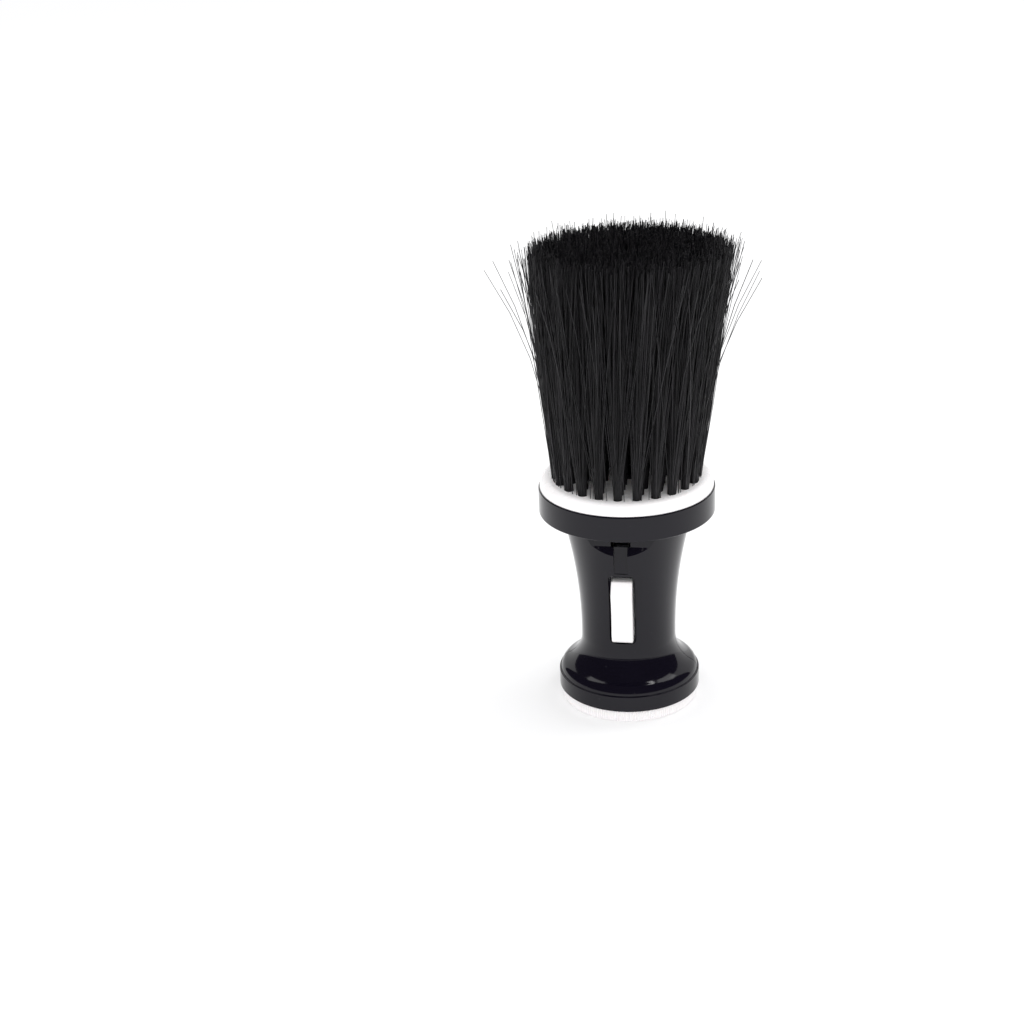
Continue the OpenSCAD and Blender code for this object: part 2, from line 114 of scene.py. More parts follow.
class HandleSizes(bpy.types.PropertyGroup):
    """Outline of the two handle shells and of what is cut in the front one"""

    foot_radius: length("Foot radius", "Radius of the band round the foot", 25.8 * MM)
    foot_height: length("Foot height", "Height of that band", 5.9 * MM)
    foot_step: length("Foot step", "Step in from the band to the bell above it", 0.6 * MM)
    shoulder: length("Shoulder", "Rounding of the bell's shoulder", 4 * MM)
    hollow: length("Hollow", "Radius of the hollow between the bell and the waist", 11.5 * MM)
    waist_radius: length("Waist radius", "Radius of the handle at its waist", 17.15 * MM)
    waist_length: length("Waist length", "Length of the straight part of the waist", 2.4 * MM)
    neck_radius: length("Neck radius", "Radius where the neck meets the collar", 23.8 * MM)
    wall: length("Wall", "Wall of the shells", 1.8 * MM)
    edge: length("Edge", "Rounding of the moulded edges", 0.2 * MM)
    window_edge: length("Window edge", "Rounding of the edges round the window", 0.12 * MM)
    window_gap: length("Window gap", "Gap on each side of the thumb slider", 0.35 * MM)
    window_corner: length("Window corner", "Rounding of the window's corners", 1.2 * MM)
    bezel: length("Bezel", "Width of the sunk rim round the window", 0.6 * MM)
    groove_width: length("Groove width", "Width of the flat groove above the window", 4.9 * MM)
    notch_width: length("Notch width", "Width of the notch that ends the groove", 7 * MM)
    notch_height: length("Notch height", "Height of that notch", 6.8 * MM)
    relief_rise: length("Relief rise", "Height of the sloped ledge beside the notch", 3.1 * MM)
    relief_run: length("Relief run", "How far that ledge stands out from the relief's flat", 1.7 * MM)


class HeadSizes(bpy.types.PropertyGroup):
    """Collar round the bristle disc"""

    collar_wall: length("Collar wall", "Wall of the collar", 1.1 * MM)
    collar_lip: length("Collar lip", "Thickness of the collar's bottom lip", 1.2 * MM)
    collar_edge: length("Collar edge", "Rounding of the collar's edges", 0.45 * MM)


class SliderSizes(bpy.types.PropertyGroup):
    """Side view of the thumb slider"""

    heel_drop: length("Heel drop", "How much lower its heel is than its ridge", 1.2 * MM)
    ramp_drop: length("Ramp drop", "How much lower its collar end is than its ridge", 2.5 * MM)
    ridge_at: share("Ridge", "Height of the ridge as a share of the slider's length", 0.8)
    heel_at: share("Heel", "Height of the heel as a share of the slider's length", 0.14)
    foot_round: length("Foot rounding", "Rounding of the foot of the slider", 1.3 * MM)
    thumb_hollow: length("Thumb hollow", "Depth of the hollow for the thumb", 0.7 * MM)
    edge: length("Edge", "Rounding of its edges", 0.45 * MM)


class BristleSizes(bpy.types.PropertyGroup):
    """Tufts of filaments in four rows"""

    per_tuft: count("Filaments", "Filaments in one tuft", 180)
    thickness: length("Thickness", "Diameter of one filament", 0.23 * MM)
    tuft_radius: length("Tuft radius", "Radius of a tuft at its root", 1.38 * MM)
    outer_row: length("Outer row", "Distance from the axis to the outer tufts", 25.2 * MM)
    row_gap: length("Row gap", "Distance between two rows at their roots", 5 * MM)
    flare: length("Flare", "How much wider the outer row is at its tips", 5 * MM)
    tip_gap: length("Tip gap", "Distance between two rows at their tips", 7.1 * MM)
    spread: length("Spread", "How far a filament's tip strays from its tuft's", 1.7 * MM)
    bow: length("Bow", "How far a filament bows out of straight", 0.6 * MM)
    cut: length("Cut", "Unevenness of the trimmed end", 0.75 * MM)
    lean: length("Lean", "How far the head leans towards +X at the tips", 2.4 * MM)
    strays: count("Strays", "Single filaments that stand out round the head", 76)
    stray_reach: length("Stray reach", "Largest distance of a stray tip from the axis", 49 * MM)
    stray_thickness: length("Stray thickness", "Diameter of these filaments", 0.28 * MM)
    seed: count("Seed", "Seed of the random numbers", 11)


class Finishes(bpy.types.PropertyGroup):
    """Colours of the materials"""

    abs_black: colour("Black plastic", "Colour of the handle and the collar", (0.0026, 0.0021, 0.0048))
    white: colour("White plastic", "Colour of the disc, slider and cap", (0.9, 0.88, 0.885))
    bristle: colour("Bristles", "Colour of most filaments", (0.0022, 0.0022, 0.0034))
    bristle_light: colour("Light bristles", "Colour of the lightest filaments", (0.03, 0.028, 0.032))
    natural: colour("Natural plastic", "Colour of the powder chamber", (0.72, 0.70, 0.64))
    steel: colour("Steel", "Colour of the steel pieces", (0.56, 0.56, 0.57))
    rubber: colour("Rubber", "Colour of the seals", (0.03, 0.03, 0.032))


class StudioSizes(bpy.types.PropertyGroup):
    """Floor, lights and camera"""

    floor: colour("Floor", "Colour of the floor", (0.93, 0.93, 0.935))
    floor_radius: length("Floor radius", "Radius of the floor", 8.0)
    floor_front: length("Floor front", "Distance to the front end of the lit floor", 0.36)
    dome_radius: length("Dome radius", "Distance of the dark room in front", 2.5)
    dark_colour: colour("Dark room", "Colour of the dark room", (0.012, 0.011, 0.014))
    dark_glow: strength("Dark room's glow", "Emission strength of the dark room", 4.0)
    sky: strength("Sky", "Strength of the white sky", 1.05)
    dark_span: angle("Dark span", "How far round the object the dark room reaches", 250)
    camera_distance: length("Camera distance", "Distance along the floor", 0.594)
    camera_height: length("Camera height", "Height above the floor", 0.322)
    camera_round: angle("Camera round", "How far round the object the camera stands", 7.1)
    camera_down: angle("Camera down", "How far down the camera looks", 22.72)
    camera_aside: angle("Camera aside", "How far to its left of the object the camera looks", 3.98)
    camera_roll: angle("Camera roll", "Roll of the camera", -2.38)
    lens: bpy.props.FloatProperty(
        name="Lens", description="Focal length in millimetres on a 36 mm sensor", default=62.97
    )


# ---------------------------------------------------------------- materials


class Value:
    """Something that varies over a surface: a node's output, which Python's operators build on"""

    def __init__(self, finish, socket):
        self.finish, self.socket = finish, socket

    def maths(self, operation, first, second):
        return self.finish.node("ShaderNodeMath", {"operation": operation}, {0: first, 1: second})

    def __add__(self, other):
        return self.maths("ADD", self, other)

    def __mul__(self, other):
        return self.maths("MULTIPLY", self, other)

    __radd__ = __add__
    __rmul__ = __mul__


class Finish:
    """A node material: node() adds any node, surface() feeds the shader"""

    def __init__(self, name):
        self.material = bpy.data.materials.new(name)
        self.material.use_nodes = True
        self.tree = self.material.node_tree
        self.shader = self.tree.nodes["Principled BSDF"]
        self.place = self.node("ShaderNodeTexCoord", output="Object")

    def node(self, kind, settings=None, values=None, output=0):
        made = self.tree.nodes.new(kind)
        for key, value in (settings or {}).items():
            if key == "stops":
                for element, (position, grey) in zip(made.color_ramp.elements, value):
                    element.position, element.color = position, (grey, grey, grey, 1)
            else:
                setattr(made, key, value)
        for key, value in (values or {}).items():
            self.feed(made.inputs[key], value)
        return Value(self, made.outputs[output])

    def feed(self, socket, value):
        if isinstance(value, Value):
            self.tree.links.new(value.socket, socket)
        elif socket.type == "RGBA":
            socket.default_value = (*value, 1)
        else:
            socket.default_value = value

    def surface(self, **values):
        for key, value in values.items():
            self.feed(self.shader.inputs[key.replace("_", " ")], value)
        return self.material

    def noise(self, size, detail=2.0, stretch=(1, 1, 1)):
        """Noise whose blotches are about size metres wide, drawn out where stretch is under 1"""
        place = self.node("ShaderNodeMapping", None, {"Vector": self.place, "Scale": stretch})
        return self.node("ShaderNodeTexNoise", None, {"Vector": place, "Scale": 1 / size, "Detail": detail})

    def ramp(self, value, low, high):
        """0 where value is under low, 1 where it is over high"""
        return self.node("ShaderNodeValToRGB", {"stops": [(low, 0), (high, 1)]}, {0: value})

    def mix(self, factor, first, second):
        return self.node("ShaderNodeMix", {"data_type": "RGBA"}, {0: factor, 6: first, 7: second}, 2)

    def bump(self, height, distance, strength=1.0, normal=None):
        values = {"Height": height, "Distance": distance, "Strength": strength}
        if normal:
            values["Normal"] = normal
        return self.node("ShaderNodeBump", None, values, "Normal")


def shade(colour_value, factor):
    return tuple(min(1.0, c * factor) for c in colour_value)


def gloss_black(colours):
    """Polished black moulding: slow waves, fine orange peel, faint scratches and a few dust specks"""
    f = Finish("gloss_black_plastic")
    waves = f.noise(22 * MM, 1.5)
    peel = f.noise(0.9 * MM, 2.0)
    scratch = f.ramp(f.noise(0.5 * MM, 3.0, (1, 1, 0.06)), 0.62, 0.78)
    dust = f.ramp(f.noise(0.55 * MM, 0.0), 0.86, 0.89)
    tint = f.mix(waves, colours.abs_black, shade(colours.abs_black, 1.5))
    return f.surface(
        Base_Color=f.mix(dust, tint, (0.05, 0.05, 0.055)),
        Roughness=0.075 + waves * 0.04 + scratch * 0.07 + dust * 0.4,
        Specular_IOR_Level=0.30,
        IOR=1.5,
        Normal=f.bump(peel, 0.0012 * MM, 0.6, f.bump(waves, 0.16 * MM, 0.55)),
    )


def gloss_white(colours):
    """White moulding: faint flow marks, a soft gloss and a little dirt in its grain"""
    f = Finish("gloss_white_plastic")
    flow = f.noise(9 * MM, 3.0, (1, 1, 0.4))
    grain = f.noise(0.5 * MM, 3.0)
    smudge = f.ramp(f.noise(5 * MM, 5.0), 0.55, 0.8)
    return f.surface(
        Base_Color=f.mix(flow * 0.35 + smudge * 0.25, colours.white, shade(colours.white, 0.96)),
        Roughness=0.22 + flow * 0.1 + smudge * 0.12,
        Subsurface_Weight=0.08,
        Subsurface_Radius=(0.0016, 0.0013, 0.0012),
        Normal=f.bump(grain, 0.003 * MM, 0.4, f.bump(flow, 0.008 * MM, 0.4)),
    )


def nylon(colours):
    """Black nylon filaments: each has its own tone, with dull stretches along it"""
    f = Finish("black_nylon_filament")
    tone = f.node("ShaderNodeAttribute", {"attribute_name": "tone"}, None, "Fac")
    along = f.noise(6 * MM, 2.0, (1, 1, 0.3))
    return f.surface(
        Base_Color=f.mix(tone * tone * (0.4 + along), colours.bristle, colours.bristle_light),
        Roughness=0.3 + tone * 0.1 + along * 0.12,
        Specular_IOR_Level=0.42,
    )


def natural_plastic(colours):
    f = Finish("natural_plastic")
    cloud = f.noise(8 * MM, 3.0)
    return f.surface(
        Base_Color=f.mix(cloud, colours.natural, shade(colours.natural, 0.9)),
        Roughness=0.38 + cloud * 0.15,
        Subsurface_Weight=0.15,
        Subsurface_Radius=(0.003, 0.0028, 0.0024),
        Normal=f.bump(f.noise(0.4 * MM, 2.0), 0.006 * MM, 0.4),
    )


def brushed_steel(colours):
    f = Finish("brushed_steel")
    lines = f.noise(0.3 * MM, 4.0, (1, 1, 0.05))
    stain = f.noise(6 * MM, 4.0)
    return f.surface(
        Base_Color=f.mix(stain, colours.steel, shade(colours.steel, 0.75)),
        Metallic=1.0,
        Roughness=0.26 + lines * 0.2 + stain * 0.1,
        Normal=f.bump(lines, 0.004 * MM, 0.6),
    )


def seal_rubber(colours):
    f = Finish("seal_rubber")
    grain = f.noise(0.35 * MM, 3.0)
    bloom = f.noise(4 * MM, 4.0)
    return f.surface(
        Base_Color=f.mix(bloom, colours.rubber, shade(colours.rubber, 1.8)),
        Roughness=0.6 + bloom * 0.2,
        Normal=f.bump(grain, 0.02 * MM, 0.6),
    )


MAKERS = {
    "black_abs": gloss_black,
    "white_plastic": gloss_white,
    "black_nylon": nylon,
    "natural_plastic": natural_plastic,
    "steel": brushed_steel,
    "rubber": seal_rubber,
}
finished = {}


def finish_for(slot):
    """The material of one slot of the record, made once"""
    if slot not in finished:
        finished[slot] = MAKERS[slot](bpy.context.scene.duster_finishes)
    return finished[slot]


# ---------------------------------------------------------------- modelling


def arc(centre, radius, start, end, steps):
    """Points of an arc in a half section, from one angle to another in degrees"""
    turns = [math.radians(start + (end - start) * i / steps) for i in range(steps + 1)]
    return [(centre[0] + radius * math.cos(a), centre[1] + radius * math.sin(a)) for a in turns]


def spun(outline, turn=360, steps=192):
    """A closed outline of (radius, height) points, spun about Z by turn degrees into a closed solid"""
    bm = bmesh.new()
    verts = [bm.verts.new((r, 0, z)) for r, z in outline]
    edges = [bm.edges.new(pair) for pair in zip(verts, verts[1:] + verts[:1])]
    whole = abs(turn) == 360
    bmesh.ops.spin(
        bm, geom=verts + edges, axis=UP, cent=ORIGIN, angle=math.radians(turn), steps=steps, use_merge=whole
    )
    bmesh.ops.remove_doubles(bm, verts=bm.verts, dist=0.001 * MM)
    bmesh.ops.delete(bm, geom=[e for e in bm.edges if e.is_wire], context="EDGES")
    if not whole:
        bmesh.ops.edgeloop_fill(bm, edges=[e for e in bm.edges if e.is_boundary])
    bmesh.ops.recalc_face_normals(bm, faces=bm.faces)
    return bm


def block(low, high, corner=0.0):
    """A box between two corners, with its four edges along Y rounded"""
    bm = bmesh.new()
    low, high = Vector(low), Vector(high)
    size = high - low
    place = Matrix.Translation((low + high) / 2) @ Matrix.Diagonal((*size, 1))
    bmesh.ops.create_cube(bm, size=1, matrix=place)
    if corner:
        along = [e for e in bm.edges if abs(e.verts[0].co.y - e.verts[1].co.y) > size.y / 2]
        round_edges(bm, along, corner, 6)
    return bm


def prism(outline, low_x, high_x):
    """A closed outline of (y, z) points, drawn out along X into a solid"""
    bm = bmesh.new()
    side = bm.faces.new([bm.verts.new((low_x, y, z)) for y, z in outline])
    made = bmesh.ops.extrude_face_region(bm, geom=[side])
    moved = [v for v in made["geom"] if isinstance(v, bmesh.types.BMVert)]
    bmesh.ops.translate(bm, verts=moved, vec=(high_x - low_x, 0, 0))
    bmesh.ops.recalc_face_normals(bm, faces=bm.faces)
    return bm


def round_edges(bm, edges, width, segments):
    bmesh.ops.bevel(
        bm,
        geom=edges,
        offset=width,
        offset_type="OFFSET",
        segments=segments,
        profile=0.5,
        affect="EDGES",
        clamp_overlap=True,
        material=-1,
    )


def soften(bm, width, segments=3, turn=30):
    """Rounds each edge whose faces turn by more than that many degrees"""
    sharp = [e for e in bm.edges if e.is_manifold and e.calc_face_angle() > math.radians(turn)]
    round_edges(bm, sharp, width, segments)


def to_object(name, bm):
    mesh = bpy.data.meshes.new(name)
    bm.to_mesh(mesh)
    bm.free()
    made = bpy.data.objects.new(name, mesh)
    bpy.context.scene.collection.objects.link(made)
    return made


def settle(obj):
    """Makes what an object's modifiers give its own mesh"""
    graph = bpy.context.evaluated_depsgraph_get()
    mesh = bpy.data.meshes.new_from_object(obj.evaluated_get(graph))
    obj.modifiers.clear()
    obj.data = mesh


def carve(obj, tool, operation="DIFFERENCE"):
    """Cuts or joins one solid with another, which is used up"""
    cutter = to_object("tool", tool) if isinstance(tool, bmesh.types.BMesh) else tool
    modifier = obj.modifiers.new("carve", "BOOLEAN")
    modifier.object, modifier.operation, modifier.solver = cutter, operation, "EXACT"
    settle(obj)
    if not obj.data.polygons:
        raise RuntimeError(f"nothing is left of {obj.name}")
    bpy.data.objects.remove(cutter)
    return obj


def even_shading(obj, sharp=40):
    """Shades an object smoothly, with its large faces flat up to their rounded edges"""
    obj.data.shade_smooth()
    obj.data.set_sharp_from_angle(angle=math.radians(sharp))
    modifier = obj.modifiers.new("even", "WEIGHTED_NORMAL")
    modifier.keep_sharp = True
    settle(obj)


def piece(obj, body, slot, *nodes):
    """Finishes an object: its material, the body it rides on and the CAD nodes it stands for"""
    obj.data.materials.clear()
    obj.data.materials.append(finish_for(slot))
    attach(obj, body)
    if nodes:
        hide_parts(*nodes)
    return obj


# ---------------------------------------------------------------- handle


def handle_outline(s, inset=0.0):
    """The handle's outer outline from its foot up to the collar, moved in by inset"""
    foot, neck_top = bottom("front_shell"), bottom("collar_ring")
    band_top = foot + s.foot_height
    shoulder = (s.foot_radius - s.foot_step - s.shoulder, band_top)
    span = s.shoulder + s.hollow
    lean = math.acos((s.waist_radius + s.hollow - shoulder[0]) / span)
    hollow = (s.waist_radius + s.hollow, band_top + span * math.sin(lean))
    waist_top = hollow[1] + s.waist_length
    rise, height = s.neck_radius - s.waist_radius, neck_top - waist_top
    flare = (rise**2 + height**2) / (2 * rise)
    lean, flare_turn = math.degrees(lean), math.degrees(math.asin(height / flare))
    return (
        [(s.foot_radius - inset, foot), (s.foot_radius - inset, band_top)]
        + arc(shoulder, s.shoulder - inset, 0, lean, 12)
        + arc(hollow, s.hollow + inset, 180 + lean, 180, 18)
        + arc((s.waist_radius + flare, waist_top), flare + inset, 180, 180 - flare_turn, 44)
    )


def shell_outline(s):
    """Section of one shell: outer face, flange inside the collar, inner face, lip under the mouth ring"""
    flange_z = bottom("collar_ring") + bpy.context.scene.duster_head.collar_lip
    inner = handle_outline(s, s.wall)
    foot, lip_z = bottom("front_shell"), bottom("mouth_ring")
    lip = reach("screw_cap") - 2 * MM
    return (
        handle_outline(s)
        + [(s.neck_radius, flange_z), (reach("front_shell"), flange_z)]
        + [(reach("front_shell"), top("front_shell")), (s.neck_radius - s.wall, top("front_shell"))]
        + inner[:0:-1]
        + [(inner[0][0], lip_z), (lip, lip_z), (lip, foot)]
    )


def window_box(margin):
    """Lowest and highest corner of a block through the window, margin wider than it all round"""
    s = bpy.context.scene.duster_handle
    low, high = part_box("thumb_slider")
    side = s.window_gap + margin
    under, over = 0.5 * MM + margin, TRAVEL["slider_travel"] + 0.3 * MM + margin
    return (low.x - side, -2 * s.neck_radius, low.z - under), (high.x + side, 0, high.z + over)


class DUSTER_OT_handle(bpy.types.Operator):
    """Mould the two handle shells, and cut the slider's window, its groove and its notch"""

    bl_idname = "duster.handle"
    bl_label = "Handle shells"

    def execute(self, context):
        s = context.scene.duster_handle
        for name, turn, node in (("handle_front", -180, "front_shell"), ("handle_rear", 180, "rear_shell")):
            bm = spun(shell_outline(s), turn, 112)
            soften(bm, s.edge)
            shell = to_object(name, bm)
            if node == "front_shell":
                self.cut_front(s, shell)
            even_shading(shell)
            piece(shell, "handle", "black_abs", node)
        return {"FINISHED"}

    def cut_front(self, s, shell):
        low, high = window_box(0)
        rim_low, rim_high = window_box(s.bezel)
        deep, neck_top = -2 * s.neck_radius, bottom("collar_ring")
        step, shy = 1 * MM, 0.1 * MM
        pad_side, pad_under, relief_end = 1.2 * MM, 0.8 * MM, 2 * MM
        flat = -self.depth_at(s, high[2])
        groove_low, groove_high = rim_high[2] + step, neck_top - s.notch_height
        half, notch = s.groove_width / 2, s.notch_width / 2
        notch_low = (-notch, deep, groove_high - 0.2 * MM)
        wide = math.sqrt(s.neck_radius**2 - flat**2) - relief_end
        back = flat + s.wall - shy
        self.pad(s, shell, (half + pad_side, groove_low - step, groove_high), flat, back)
        self.pad(s, shell, (wide, groove_high - s.relief_rise - pad_under, neck_top - shy), flat, back)
        rim = to_object("rim", block(rim_low, rim_high, s.window_corner + s.bezel))
        middle = handle_outline(s, s.wall / 2)
        core = [(0, middle[0][1] - step)] + middle + [(0, middle[-1][1])]
        carve(rim, spun(core))
        carve(shell, rim)
        carve(shell, block(low, high, s.window_corner))
        self.soften_window(s, shell, rim_high[2])
        notch_high = (notch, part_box("slide_bar")[0].y - 1.2 * MM, neck_top - 0.33 * MM)
        relief = to_object("relief", self.relief(s, flat, groove_high))
        groove = block((-half, 0.9 * deep, groove_low), (half, flat + 0.01 * MM, groove_high + step))
        carve(relief, groove, "UNION")
        carve(relief, block((notch_low[0], 0.8 * deep, notch_low[2]), notch_high), "UNION")
        carve(shell, relief)
        if min(v.co.y for v in shell.data.vertices) < -reach("collar_ring"):
            raise RuntimeError("a cut in the front shell went wrong")

    def soften_window(self, s, shell, top_z):
        """Rounds the edges of the window and of its sunk rim"""
        bm = bmesh.new()
        bm.from_mesh(shell.data)
        bmesh.ops.remove_doubles(bm, verts=bm.verts, dist=0.004 * MM)
        bmesh.ops.dissolve_degenerate(bm, edges=bm.edges, dist=0.004 * MM)
        reach_x, reach_z = s.window_edge + reach("thumb_slider") + 2 * MM, top_z + 0.1 * MM
        near = [
            e
            for e in bm.edges
            if e.is_manifold
            and e.calc_face_angle() > math.radians(50)
            and all(abs(v.co.x) < reach_x and 20 * MM < v.co.z < reach_z and v.co.y < -s.waist_radius / 2
                    for v in e.verts)
        ]
        round_edges(bm, near, s.window_edge, 2)
        bm.to_mesh(shell.data)
        bm.free()

    def pad(self, s, shell, size, flat, back):
        """Thickens the wall behind a flat that is cut in it: half width, bottom and top"""
        half, low, high = size
        pad = to_object("pad", block((-half, flat - 6 * MM, low), (half, back, high)))
        inside = handle_outline(s, s.wall / 2)
        core = [(0, inside[0][1] - 1 * MM)] + inside + [(0, inside[-1][1] + 1 * MM)]
        carve(pad, spun(core), "INTERSECT")
        carve(shell, pad, "UNION")

    def relief(self, s, flat, top_z):
        """Cutter of the relief beside the notch: its flat, and the ledge that slopes out below it"""
        out, down = 2 * s.relief_run, 2 * s.relief_rise
        end, side = bottom("collar_ring") - 0.2 * MM, s.neck_radius
        ledge, front = top_z - down, -2 * side
        outline = ((flat, top_z), (flat - out, ledge), (front, ledge), (front, end), (flat, end))
        return prism(outline, -side, side)

    def depth_at(self, s, height):
        """Radius of the handle's outer face at a height"""
        outline = handle_outline(s)
        return min(outline, key=lambda point: abs(point[1] - height))[0]


class DUSTER_OT_collar(bpy.types.Operator):
    """Spin the collar that holds the shells together round the disc"""

    bl_idname = "duster.collar"
    bl_label = "Collar"

    def execute(self, context):
        s, neck = context.scene.duster_head, context.scene.duster_handle.neck_radius
        low, high, outer = bottom("collar_ring"), top("collar_ring"), reach("collar_ring")
        edge, inner = s.collar_edge, neck + 0.15 * MM
        outline = (
            arc((outer - edge, low + edge), edge, -90, 0, 6)
            + arc((outer - edge, high - edge), edge, 0, 90, 6)
            + [(outer - s.collar_wall, high), (outer - s.collar_wall, low + s.collar_lip)]
            + [(inner, low + s.collar_lip), (inner, low)]
        )
        bm = spun(outline, 360, 240)
        soften(bm, 0.12 * MM, 2, 50)
        collar = to_object("collar", bm)
        even_shading(collar)
        piece(collar, "handle", "black_abs", "collar_ring")
        return {"FINISHED"}


class DUSTER_OT_slider(bpy.types.Operator):
    """Model the thumb slider from its side view: ramp, ridge, hollow thumb face and round foot"""

    bl_idname = "duster.slider"
    bl_label = "Thumb slider"

    def execute(self, context):
        s = context.scene.duster_slider
        low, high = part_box("thumb_slider")
        ridge, tall = high.y - low.y, high.z - low.z
        heel = ridge - s.heel_drop
        start, end = Vector((heel, s.heel_at * tall)), Vector((ridge, s.ridge_at * tall))
        inward = Vector((start.y - end.y, end.x - start.x)).normalized()
        steps = 14
        face = [
            start.lerp(end, i / steps) + inward * s.thumb_hollow * 4 * (i / steps) * (1 - i / steps)
            for i in range(steps + 1)
        ]
        foot = arc((heel - 0.5 * MM - s.foot_round, s.foot_round), s.foot_round, -90, 0, 3)
        outline = [(0, 0)] + foot + [tuple(p) for p in face] + [(ridge - s.ramp_drop, tall), (0, tall)]
        bm = prism([(high.y - out, low.z + up) for out, up in outline], low.x, high.x)
        soften(bm, s.edge, 4, 58)
        button = to_object("slider_button", bm)
        even_shading(button, 60)
        piece(button, "slider", "white_plastic", "thumb_slider")
        return {"FINISHED"}


# ---------------------------------------------------------------- bristles

# Rows of tufts from the outside in: CAD node, pieces it is made in, tufts. Left is the brush's own, +X.
ROWS = (
    ("outer_tufts", ("outer_bristles_left", "outer_bristles_right"), 24),
    ("middle_tufts", ("middle_bristles",), 18),
    ("inner_tufts", ("inner_bristles",), 12),
    ("core_tufts", ("core_bristles",), 8),
)
# Where a filament has its points, from root to tip
RINGS = (0, 0.12, 0.34, 0.58, 0.8, 1)
ROOT_DEPTH = 1.5 * MM
# How many times wider a tuft is at its tips than at its root
TUFT_OPENS = 2.2
# Filaments that differ from their tuft: which share of them does, and by how many millimetres
LOOSE_SHARE, LOOSE_ASIDE = 0.16, (2, 11)
LONG_SHARE, LONG_BY = 0.05, (0.5, 3.6)
SHORT_SHARE, SHORT_BY = 0.08, (1, 8)
FLARED_SHARE, FLARED_BY = 0.14, 3.2


def in_disc(rng, radius):
    """A random point of a disc"""
    r, a = radius * math.sqrt(rng.random()), rng.uniform(0, 2 * math.pi)
    return Vector((r * math.cos(a), r * math.sin(a), 0))


def strand(s, root, tip, bow, flare=0.0, bend=2.2):
    """Points of one filament from its root to its tip, bowed by a vector and flared out near the tip"""
    out = Vector((tip.x, tip.y, 0)).normalized()
    lean = Vector((0.99, 0.12, 0)) * s.lean
    return [
        root.lerp(tip, t) + bow * math.sin(math.pi * t) + out * flare * t**bend + lean * t**1.5
        for t in RINGS
    ]


def filaments(name, strands, thickness):
    """One mesh of thin tubes, each with its own tone"""
    curve = bpy.data.curves.new(name, "CURVE")
    curve.dimensions, curve.bevel_depth, curve.bevel_resolution = "3D", thickness / 2, 0
    curve.use_fill_caps = True
    for points, _ in strands:
        spline = curve.splines.new("POLY")
        spline.points.add(len(points) - 1)
        spline.points.foreach_set("co", [c for p in points for c in (*p, 1)])
        spline.points.foreach_set("radius", [1, 1, 1, 1, 0.97, 0.85])
    source = bpy.data.objects.new(name, curve)
    bpy.context.scene.collection.objects.link(source)
    mesh = bpy.data.meshes.new_from_object(source.evaluated_get(bpy.context.evaluated_depsgraph_get()))
    bpy.data.objects.remove(source)
    each, rest = divmod(len(mesh.vertices), len(strands))
    if rest:
        raise RuntimeError(f"the filaments of {name} differ in their number of points")
    tones = mesh.attributes.new("tone", "FLOAT", "POINT")
    tones.data.foreach_set("value", [tone for _, tone in strands for _ in range(each)])
    made = bpy.data.objects.new(name, mesh)
    bpy.context.scene.collection.objects.link(made)
    return made


class DUSTER_OT_bristles(bpy.types.Operator):
    """Grow the tufts: thin filaments that leave the disc in tight round tufts and merge above it"""

    bl_idname = "duster.bristles"
    bl_label = "Bristles"

    def execute(self, context):
        s = context.scene.duster_bristles
        rng = random.Random(s.seed)
        for row, (node, names, tufts) in enumerate(ROWS):
            strands = []
            for i in range(tufts):
                turn = Matrix.Rotation(math.radians(i * 360 / tufts - 90), 3, "Z")
                strands += self.tuft(rng, s, row, turn)
            share_of = math.ceil(len(strands) / len(names))
            for k, name in enumerate(names):
                made = filaments(name, strands[k * share_of : (k + 1) * share_of], s.thickness)
                piece(made, "handle", "black_nylon", *([node] if k == 0 else []))
        return {"FINISHED"}

    def tuft(self, rng, s, row, turn):
        face, cut = top("bristle_disc"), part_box("outer_tufts")[1].z
        root_r = s.outer_row - row * s.row_gap
        tip_r = s.outer_row + s.flare - row * s.tip_gap
        strands = []
        for _ in range(s.per_tuft):
            at = in_disc(rng, s.tuft_radius)
            stray = Vector((rng.gauss(0, s.spread), rng.gauss(0, s.spread), 0))
            loose = row < 2 and at.x > 0 and rng.random() < LOOSE_SHARE
            tone = rng.random() ** 1.5
            if loose:
                stray.y += rng.choice((-1, 1)) * rng.uniform(*LOOSE_ASIDE) * MM
                stray.x = TUFT_OPENS * (s.tuft_radius - at.x) + 0.4 * MM
                tone = 0.55 + 0.45 * tone
            tall = cut + rng.gauss(0, s.cut) + 0.6 * MM
            if rng.random() < LONG_SHARE:
                tall += rng.uniform(*LONG_BY) * MM
            if rng.random() < SHORT_SHARE:
                tall -= rng.uniform(*SHORT_BY) * MM
            root = turn @ (Vector((root_r, 0, face - ROOT_DEPTH)) + at)
            tip = turn @ (Vector((tip_r, 0, tall)) + at * TUFT_OPENS + stray)
            bow = turn @ Vector((rng.gauss(0, s.bow) + 0.5 * MM * loose, rng.gauss(0, s.bow), 0))
            flare = 0
            if row == 0 and at.x > 0 and rng.random() < FLARED_SHARE:
                flare = abs(rng.gauss(0, FLARED_BY)) * MM
            strands.append((strand(s, root, tip, bow, flare), tone))
        return strands


